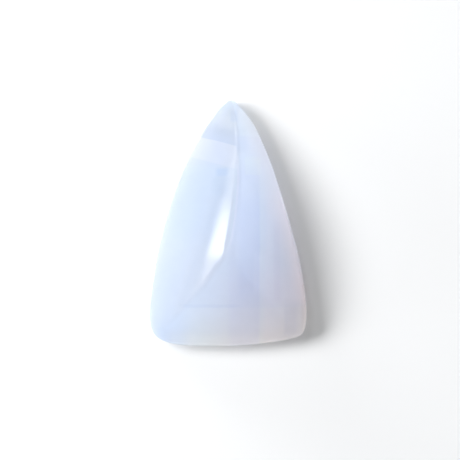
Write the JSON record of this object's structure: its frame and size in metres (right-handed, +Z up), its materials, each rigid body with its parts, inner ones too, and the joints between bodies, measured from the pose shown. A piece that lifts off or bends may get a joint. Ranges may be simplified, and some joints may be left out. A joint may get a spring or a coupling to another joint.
{
  "type": "blue chalcedony cabochon",
  "caption": "Polished pale blue chalcedony cabochon: a long rounded triangle with a softly ridged dome, a low girdle and a flat back.",
  "frame": {"origin": "middle of the bounding box of the flat back, on the surface that the stone lies on", "axes": "+Y along the stone towards its narrow tip, +Z up out of the flat back through the dome, +X to the right of the dome seen from above with the tip away from the viewer"},
  "size_m": [0.0166, 0.026, 0.0063],
  "materials": {
    "chalcedony": "polished, waxy and translucent, pale blue turning to lavender grey, with faint darker bands"
  },
  "bodies": {
    "root": {"chalcedony_cabochon": "chalcedony"}
  },
  "joints": []
}
